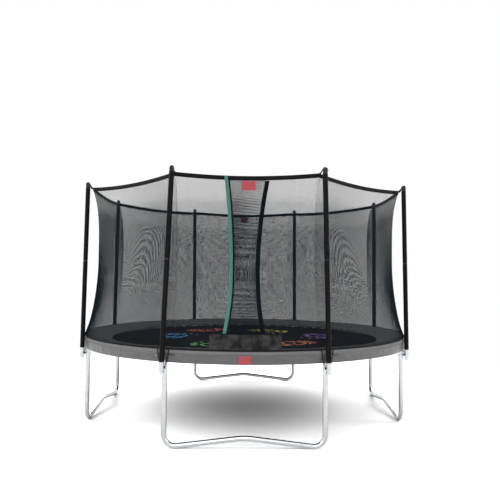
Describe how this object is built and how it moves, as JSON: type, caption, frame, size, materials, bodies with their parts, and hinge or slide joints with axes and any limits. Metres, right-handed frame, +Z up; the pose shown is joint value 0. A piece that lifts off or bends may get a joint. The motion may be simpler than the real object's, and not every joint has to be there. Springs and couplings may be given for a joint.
{
  "type": "garden trampoline with safety net",
  "caption": "Round garden trampoline on W legs, with a sprung jumping mat, padded edge and an inner safety net with an overlapping entrance.",
  "frame": {"origin": "on the floor under the centre of the mat", "axes": "+Z up, -Y towards the entrance in the net, +X to the right of someone who faces the entrance"},
  "size_m": [3.81, 3.8096, 2.6208],
  "materials": {
    "galvanised_steel": "galvanised, satin",
    "zinc_bolts": "zinc plated",
    "spring_wire": "zinc plated wire",
    "foam_sleeve": "vinyl skin over foam",
    "cap_plastic": "moulded, semi-gloss",
    "mat_fabric": "woven polypropylene",
    "black_webbing": "woven webbing",
    "pad_foam": "closed-cell foam",
    "pad_cover": "coated fabric, satin",
    "net_mesh": "fine knitted mesh",
    "green_binding": "woven tape",
    "elastic_cord": "braided elastic"
  },
  "bodies": {
    "frame": {"ring_segment_1": "galvanised_steel", "ring_segment_2": "galvanised_steel", "ring_segment_3": "galvanised_steel", "ring_segment_4": "galvanised_steel", "ring_segment_5": "galvanised_steel", "ring_segment_6": "galvanised_steel", "ring_segment_7": "galvanised_steel", "ring_segment_8": "galvanised_steel", "leg_base_front": "galvanised_steel", "leg_base_right": "galvanised_steel", "leg_base_back": "galvanised_steel", "leg_base_left": "galvanised_steel", "leg_upright_1": "galvanised_steel", "leg_upright_2": "galvanised_steel", "leg_upright_3": "galvanised_steel", "leg_upright_4": "galvanised_steel", "leg_upright_5": "galvanised_steel", "leg_upright_6": "galvanised_steel", "leg_upright_7": "galvanised_steel", "leg_upright_8": "galvanised_steel", "net_pole_1": "galvanised_steel", "net_pole_2": "galvanised_steel", "net_pole_3": "galvanised_steel", "net_pole_4": "galvanised_steel", "net_pole_5": "galvanised_steel", "net_pole_6": "galvanised_steel", "net_pole_7": "galvanised_steel", "net_pole_8": "galvanised_steel", "pole_sleeve_1": "foam_sleeve", "pole_sleeve_2": "foam_sleeve", "pole_sleeve_3": "foam_sleeve", "pole_sleeve_4": "foam_sleeve", "pole_sleeve_5": "foam_sleeve", "pole_sleeve_6": "foam_sleeve", "pole_sleeve_7": "foam_sleeve", "pole_sleeve_8": "foam_sleeve", "pole_caps": "cap_plastic", "pole_clamps": "galvanised_steel", "frame_bolts": "zinc_bolts", "springs": "spring_wire", "pad_foam": "pad_foam", "pad_cover": "pad_cover", "net_bay_1": "net_mesh", "net_bay_2": "net_mesh", "net_bay_3": "net_mesh", "net_bay_4": "net_mesh", "net_bay_5": "net_mesh", "net_bay_6": "net_mesh", "net_bay_7": "net_mesh", "net_bands": "black_webbing", "corner_straps": "black_webbing", "entrance_sill": "net_mesh", "tie_cords": "elastic_cord"},
    "bed": {"jumping_mat": "mat_fabric", "mat_webbing": "black_webbing", "mat_rings": "spring_wire"},
    "outer_flap": {"outer_flap_net": "net_mesh", "outer_flap_binding": "green_binding"},
    "inner_flap": {"inner_flap_net": "net_mesh", "inner_flap_binding": "black_webbing"}
  },
  "joints": [
    {"name": "bed_bounce", "type": "slide", "parent": "frame", "child": "bed", "axis": [0, 0, 1], "range_m": [-0.2, 0], "stiffness_N_per_m": 4000, "springref_m": 0.06, "deforming": ["springs"]},
    {"name": "outer_flap_part", "type": "slide", "parent": "frame", "child": "outer_flap", "axis": [1, 0, 0], "range_m": [0, 0.4], "deforming": ["outer_flap_net"]},
    {"name": "inner_flap_part", "type": "slide", "parent": "frame", "child": "inner_flap", "axis": [-1, 0, 0], "range_m": [0, 0.4], "deforming": ["inner_flap_net"]}
  ]
}
